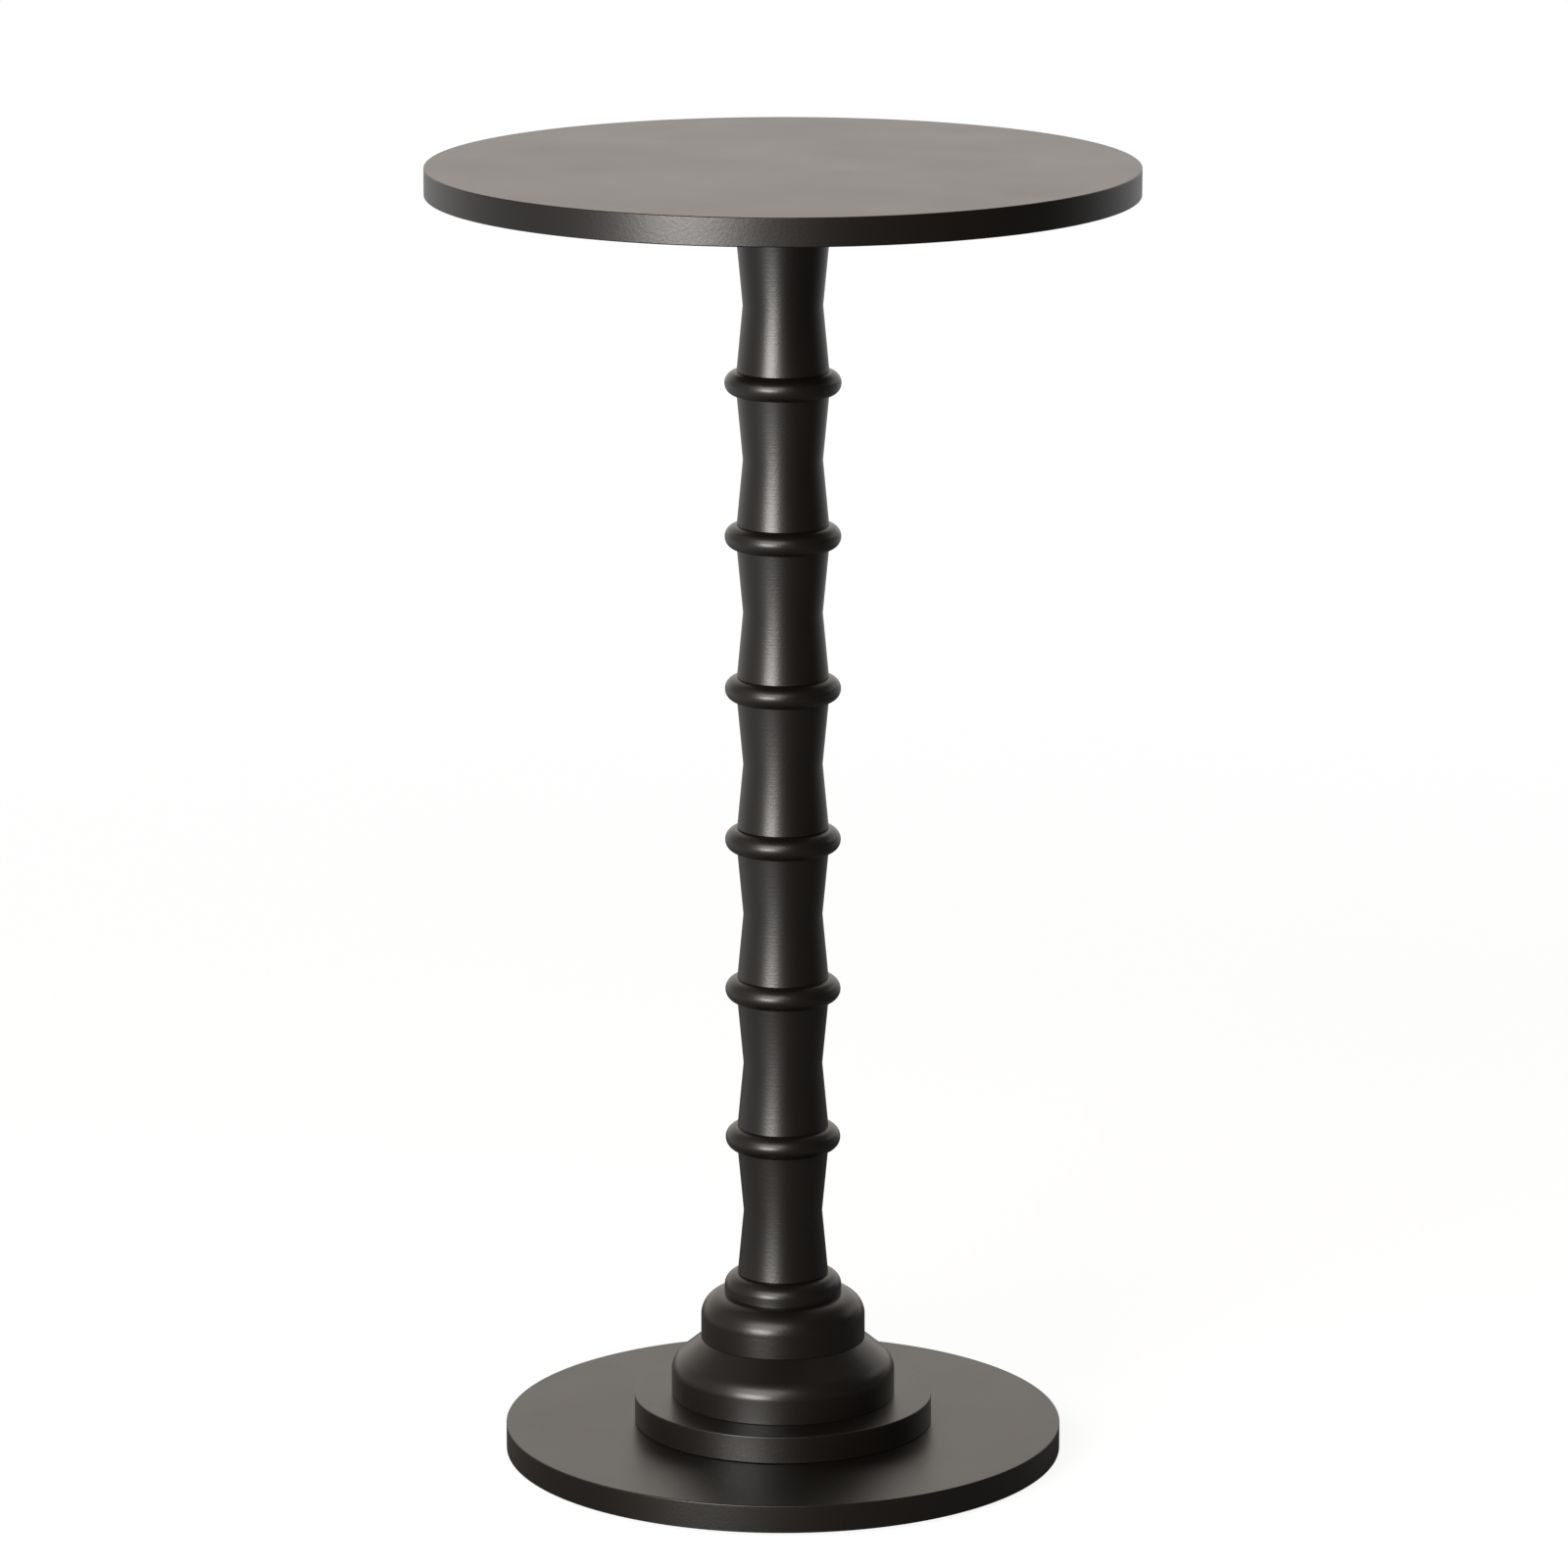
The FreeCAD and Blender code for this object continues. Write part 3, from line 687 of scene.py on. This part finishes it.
def makeNut():
    foot, head = extents("top_plate_nut")[1:]
    outside = hexagon(nut["acrossFlats"])
    slope = math.tan(math.radians(nut["slopeDegrees"]))
    bm = bmesh.new()
    shell = [ring(bm, *place, nut["sides"]) for place in (
        (threadHoleRadius + nut["edge"], foot), (nut["flatRadius"], foot),
        (outside, lambda angle: foot + (outside(angle) - nut["flatRadius"]) * slope),
        (outside, lambda angle: head - (outside(angle) - nut["flatRadius"]) * slope),
        (nut["flatRadius"], head), (threadHoleRadius + nut["edge"], head))]
    tapped = threadRings(bm, tappedThread, head - nut["edge"], foot + nut["edge"], nut["sides"])
    skin(bm, shell + tapped, closed=True)
    makePiece("plateNut", bm, "top_plate_nut", sharpDegrees=24)


bolt = {
    "sides": 48,
    "headRadius": 7 * mm,
    "headHeight": 4.4 * mm,
    "crown": 1.6 * mm,
    "seatEdge": 0.2 * mm,
    "shankRadius": 4 * mm,
    "socketAcrossFlats": 5 * mm,
    "socketDepth": 2.6 * mm,
    "drillPoint": 0.4 * mm,
    "socketEdge": 0.25 * mm,
    "threadLength": 42 * mm,
    "chamfer": 1 * mm,
}


def makeBolt():
    foot, head = extents("base_bolt")[1:]
    sides, socket = bolt["sides"], hexagon(bolt["socketAcrossFlats"])
    seat, floor = foot + bolt["headHeight"], foot + bolt["socketDepth"]
    bm = bmesh.new()
    recess = [ring(bm, 0, floor + bolt["drillPoint"], 1), ring(bm, socket, floor, sides),
              ring(bm, socket, foot + bolt["socketEdge"], sides),
              ring(bm, bolt["socketAcrossFlats"] / math.sqrt(3) + bolt["socketEdge"], foot, sides)]
    outline = rounded([(0, foot), (bolt["headRadius"], foot, bolt["crown"]),
                       (bolt["headRadius"], seat, bolt["seatEdge"]), (bolt["shankRadius"], seat)])
    thread = head - bolt["threadLength"]
    outline.append((bolt["shankRadius"], thread - bolt["chamfer"]))
    body = [ring(bm, *place, sides) for place in outline[1:]]
    screw = threadRings(bm, machineThread, thread, head - bolt["chamfer"], sides)
    tip = [ring(bm, machineThread["core"] - bolt["chamfer"] / 2, head, sides), ring(bm, 0, head, 1)]
    skin(bm, recess + body + screw + tip)
    makePiece("baseBolt", bm, "base_bolt", sharpDegrees=24)


makeStud("topStud", "top_hanger_bolt")
makeStud("columnStud", "column_hanger_bolt")
makeInsert("upperInsert", "upper_column_insert")
makeInsert("lowerInsert", "lower_column_insert")
makeNut()
makeBolt()
print("studs, inserts, nut and bolt ready")


# washers, screws and felt pads

washer = {"sides": 96, "edge": 0.3 * mm, "edgeStepDegrees": 30}
springWasher = {"turnDegrees": 348, "steps": 87, "edge": 0.25 * mm, "edgeStepDegrees": 45}


def washerSection(node, shape):
    radius, foot, head = extents(node)
    hole, edge = threadHoleRadius, shape["edge"]
    corners = [(hole, foot, edge), (radius, foot, edge), (radius, head, edge), (hole, head, edge)]
    return rounded(corners, shape["edgeStepDegrees"])


def makeFlatWasher():
    bm = bmesh.new()
    turn(bm, washerSection("base_washer", washer), washer["sides"], closed=True)
    makePiece("flatWasher", bm, "base_washer")


def makeSpringWasher():
    # a split ring: one section carried round most of a turn
    section = washerSection("base_lock_washer", springWasher)
    bm = bmesh.new()
    sections = []
    for k in range(springWasher["steps"] + 1):
        angle = math.radians(springWasher["turnDegrees"]) * k / springWasher["steps"]
        sections.append([bm.verts.new((r * math.cos(angle), r * math.sin(angle), z)) for r, z in section])
    skin(bm, sections)
    bm.faces.new(sections[0])
    bm.faces.new(sections[-1])
    makePiece("springWasher", bm, "base_lock_washer")


woodThread = {"ridgeShare": 0.5, "rowsPerTurn": 8}
woodScrew = {"sides": 24, "land": 0.15 * mm, "floorReach": 0.5, "floorWidth": 0.6, "floorDepth": 0.8}
plateScrewShape = plateScrew | woodScrew | {
    "headRadius": 3.8 * mm, "headDepth": 1.8 * mm, "shankRadius": 2.0 * mm, "shankLength": 1 * mm,
    "crossReach": 2.1 * mm, "crossWidth": 0.45 * mm, "crossDepth": 1.3 * mm,
    "thread": woodThread | {"pitch": 1.8 * mm, "core": 1.3 * mm, "crest": 2.0 * mm, "point": 3 * mm},
}
baseScrewShape = baseScrew | woodScrew | {
    "headRadius": 4.5 * mm, "headDepth": 2.25 * mm, "shankRadius": 2.25 * mm, "shankLength": 16 * mm,
    "crossReach": 2.6 * mm, "crossWidth": 0.55 * mm, "crossDepth": 1.7 * mm,
    "thread": woodThread | {"pitch": 2.2 * mm, "core": 1.45 * mm, "crest": 2.25 * mm, "point": 5 * mm},
}


def crossLoop(bm, reach, width, height, spot):
    # twelve corners of a cross, a quarter at a time
    loop = []
    x, y = 1, 0
    for quarter in range(4):
        for out, side in ((reach, -width), (reach, width), (width, width)):
            loop.append(bm.verts.new((spot[0] + out * x - side * y, spot[1] + out * y + side * x, height)))
        x, y = -y, x
    return loop


def makeScrews(name, node, screw):
    foot, head = extents(node)[1:]
    sides, shoulder = screw["sides"], foot + screw["headDepth"]
    reach, width, depth = screw["crossReach"], screw["crossWidth"], screw["crossDepth"]
    bm = bmesh.new()
    for spot in spots(screw["circle"], screw["count"]):
        mouth = crossLoop(bm, reach, width, foot, spot)
        floor = crossLoop(bm, reach * screw["floorReach"], width * screw["floorWidth"],
                          foot + depth * screw["floorDepth"], spot)
        skin(bm, [mouth, floor, ring(bm, 0, foot + depth, 1, spot)])
        body = [ring(bm, *place, sides, spot) for place in (
            (screw["headRadius"], foot), (screw["headRadius"], foot + screw["land"]),
            (screw["shankRadius"], shoulder), (screw["shankRadius"], shoulder + screw["shankLength"]))]
        thread = threadRings(bm, screw["thread"], shoulder + screw["shankLength"], head, sides, spot)
        skin(bm, body + thread)
        fillFlat(bm, [body[0], mouth])
    makePiece(name, bm, node, sharpDegrees=30)


pad = {
    "circle": 236 * mm,
    "count": 6,
    "radius": 11 * mm,
    "sides": 64,
    "edge": 0.7 * mm,
    "ragged": 0.18 * mm,         # die-cut felt is a little ragged at its side
    "raggedSize": 1.6 * mm,
}


def makePads():
    foot, head = extents("floor_pads")[1:]
    wide, edge = pad["radius"], pad["edge"]
    bm = bmesh.new()
    outline = rounded([(0, foot), (wide, foot, edge), (wide, head, edge), (0, head)])
    for spot in spots(pad["circle"], pad["count"]):
        for loop in turn(bm, outline, pad["sides"], spot)[1:-1]:
            for corner in loop:
                away = Vector((corner.co.x - spot[0], corner.co.y - spot[1], 0))
                rag = 0.5 + 0.5 * noise.noise(corner.co / pad["raggedSize"])
                corner.co -= away.normalized() * (pad["ragged"] * rag)
    makePiece("feltPads", bm, "floor_pads")


makeFlatWasher()
makeSpringWasher()
makeScrews("plateScrews", "top_plate_screws", plateScrewShape)
makeScrews("baseScrews", "base_screws", baseScrewShape)
makePads()
print("washers, screws and pads ready")


# studio: pale floor, white surround, soft lamps and the camera

studio = {
    "floorRadius": 30.0,
    "floorSides": 96,
    "floorHeight": -0.1 * mm,    # clear of the pads
    "floorShade": (0.22, 0.215, 0.21),
    "floorGlow": 0.91,           # white that the eye sees in the floor, besides its light and shade
    "floorGloss": 0.02,          # share of that white that gloss picks up near the table
    "leftGloss": 0.48,           # the same on its left, growing from leftFrom to leftTo
    "leftFrom": 0.15,
    "leftTo": 0.8,
    "backGloss": 0.58,           # the same far behind it
    "backFloor": {"way": (0.0, 1.0, 0.0), "from": -0.1, "to": 1.0},
    "paintedUnderGlow": 0.4,           # painted light: the floor under the base glows to reflections and to matt surfaces above it, so the base's underside is lit and can be seen from below
    "underFrom": 0.139,
    "underTo": 0.132,
    "plainFrom": 0.5,            # from here to plainTo the floor runs over into plain white
    "plainTo": 2.2,
    "roomDim": 0.09,             # surround to the right and in front of the table
    "backdrop": {"way": (-0.05, 1.0, 0.1), "from": 0.5, "to": 0.92, "bright": 0.9},
    "skyline": {"way": (0.0, 1.0, -0.35), "from": 0.75, "to": 0.97, "bright": 0.5},
    "leftWall": {"way": (-0.95, -0.25, 0.0), "from": 0.1, "to": 0.9, "bright": 0.4},
    "ceiling": {"way": (0.0, 0.25, 1.0), "from": 0.7, "to": 1.0, "bright": 0.14},
    "roomShade": (1.0, 0.93, 0.86),
    "lampShade": (1.0, 0.965, 0.93),
    "ambient": 0.5,              # share of the surround that lights matt surfaces
    "aimHeight": 0.33,
    "cameraOffset": 0.52 * mm,
    "cameraDistance": 3522.6 * mm,
    "cameraHeight": 1151.5 * mm,
    "cameraPitchDegrees": 12.89,
    "cameraLens": 167.1,
    "cameraSensor": 36,
}
lamps = {
    "key": {"turnDegrees": -30.5, "height": 0.62, "distance": 6.4,
            "width": 3.0, "tall": 1.15, "radiance": 35},
    "upper": {"turnDegrees": -26, "height": 1.85, "distance": 3.0,
              "width": 2.8, "tall": 1.7, "radiance": 5.2},
    "side": {"turnDegrees": 125, "height": 1.3, "distance": 3.0,
             "width": 1.6, "tall": 1.0, "radiance": 0.7},
}


def rays(finish, name):
    return finish.add("ShaderNodeLightPath", output=f"Is {name} Ray")


def facing(finish, way, wall):
    # how far a direction from the table points at one wall of the studio
    toward = finish.add("ShaderNodeVectorMath", {"operation": "DOT_PRODUCT"},
                        {0: way, 1: Vector(wall["way"]).normalized()}, output="Value")
    return finish.span(toward, wall["from"], wall["to"])


def makeFloor():
    bm = bmesh.new()
    bmesh.ops.create_circle(bm, cap_ends=True, segments=studio["floorSides"], radius=studio["floorRadius"])
    mesh = bpy.data.meshes.new("floor")
    bm.to_mesh(mesh)
    bm.free()
    floor = bpy.data.objects.new("floor", mesh)
    floor.location.z = studio["floorHeight"]
    bpy.context.scene.collection.objects.link(floor)
    finish = newFinish("paleFloor")
    matt = finish.add("ShaderNodeBsdfDiffuse", {}, {"Color": (*studio["floorShade"], 1)})
    glow = finish.add("ShaderNodeEmission", {}, {"Color": (1, 1, 1, 1), "Strength": studio["floorGlow"]})
    lit = finish.add("ShaderNodeAddShader", {}, {0: matt, 1: glow})
    plain = finish.add("ShaderNodeEmission", {}, {"Color": (1, 1, 1, 1), "Strength": 1})
    place = finish.place()
    away, way = finish.length(place), finish.unit(place)
    far = finish.span(away, studio["plainFrom"], studio["plainTo"])
    white = finish.add("ShaderNodeMixShader", {}, {0: far, 1: lit, 2: plain})
    near = finish.span(away, studio["leftFrom"], studio["leftTo"])
    left = facing(finish, way, studio["leftWall"]) * near * studio["leftGloss"]
    back = facing(finish, way, studio["backFloor"]) * far * studio["backGloss"]
    # painted light: a glow in the floor under the base, seen in reflections and lighting the matt
    # underside above it
    under = finish.span(away, studio["underFrom"], studio["underTo"]) * studio["paintedUnderGlow"]
    gloss = studio["floorGloss"] + left + back + under
    seen = rays(finish, "Camera") + rays(finish, "Transmission")
    seen = seen + rays(finish, "Glossy") * gloss + rays(finish, "Diffuse") * under
    top = finish.add("ShaderNodeMixShader", {}, {0: seen, 1: matt, 2: white})
    below = finish.add("ShaderNodeNewGeometry", output="Backfacing")
    clear = finish.add("ShaderNodeBsdfTransparent")
    finish.show(finish.add("ShaderNodeMixShader", {}, {0: below, 1: top, 2: clear}))
    mesh.materials.append(finish.owner)


def makeWorld():
    world = bpy.data.worlds.new("surround")
    bpy.context.scene.world = world
    finish = Finish(world)
    way = finish.add("ShaderNodeTexCoord", output="Generated")
    level = studio["roomDim"]
    for wall in (studio["backdrop"], studio["skyline"], studio["leftWall"], studio["ceiling"]):
        level = level + facing(finish, way, wall) * wall["bright"]
    seen = rays(finish, "Camera") + rays(finish, "Transmission")
    strength = seen + (rays(finish, "Glossy") + rays(finish, "Diffuse") * studio["ambient"]) * level
    colour = finish.blend(seen, studio["roomShade"], (1, 1, 1))
    finish.show(finish.add("ShaderNodeBackground", {}, {"Color": colour, "Strength": strength}))


def makeLamp(name, lamp):
    turned = math.radians(lamp["turnDegrees"])
    aim = Vector((0, 0, studio["aimHeight"]))
    place = Vector((math.sin(turned), -math.cos(turned), 0)) * lamp["distance"]
    place.z = lamp["height"]
    data = bpy.data.lights.new(name, "AREA")
    data.shape = "RECTANGLE"
    data.size, data.size_y = lamp["width"], lamp["tall"]
    data.energy = lamp["radiance"] * math.pi * data.size * data.size_y
    data.color = studio["lampShade"]
    light = bpy.data.objects.new(name, data)
    light.location = place
    light.rotation_euler = (aim - place).to_track_quat("-Z", "Y").to_euler()
    light.visible_camera = False
    bpy.context.scene.collection.objects.link(light)


def makeCamera():
    data = bpy.data.cameras.new("camera")
    data.lens = studio["cameraLens"]
    data.sensor_width = studio["cameraSensor"]
    camera = bpy.data.objects.new("camera", data)
    camera.location = (studio["cameraOffset"], -studio["cameraDistance"], studio["cameraHeight"])
    camera.rotation_euler = (math.radians(90 - studio["cameraPitchDegrees"]), 0, 0)
    bpy.context.scene.collection.objects.link(camera)
    bpy.context.scene.camera = camera


makeFloor()
makeWorld()
for name, lamp in lamps.items():
    makeLamp(name, lamp)
makeCamera()
bpy.context.scene.view_settings.view_transform = "Standard"
print("studio ready")
